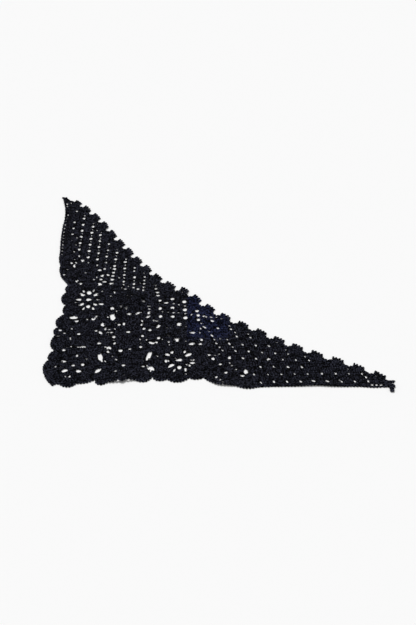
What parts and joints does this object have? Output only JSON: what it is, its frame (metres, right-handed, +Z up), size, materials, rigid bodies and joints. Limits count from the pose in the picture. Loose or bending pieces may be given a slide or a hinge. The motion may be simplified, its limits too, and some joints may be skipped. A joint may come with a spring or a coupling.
{
  "type": "crochet scarf",
  "caption": "Triangular near-black crochet scarf lying flat, with petal motifs, an openwork mesh and a scalloped picot edging.",
  "frame": {"origin": "centre of the scarf's box in plan, on the surface it lies on", "axes": "+X along the lower leg from the right-angled corner to the right tip, +Y along the left leg to the left tip, +Z up out of the surface"},
  "size_m": [0.6476, 0.6546, 0.0093],
  "materials": {
    "cotton_yarn": "matt plied cotton yarn, crocheted"
  },
  "bodies": {
    "root": {"motif_corner": "cotton_yarn", "motif_base_mid": "cotton_yarn", "motif_base_far": "cotton_yarn", "motif_side_low": "cotton_yarn", "motif_inner": "cotton_yarn", "motif_inner_right": "cotton_yarn", "motif_side_high": "cotton_yarn", "motif_inner_top": "cotton_yarn", "half_motif_left": "cotton_yarn", "half_motif_right": "cotton_yarn", "mesh_left": "cotton_yarn", "mesh_right": "cotton_yarn", "border_left": "cotton_yarn", "border_right": "cotton_yarn", "shell_edging": "cotton_yarn", "tip_tail": "cotton_yarn"}
  },
  "joints": []
}
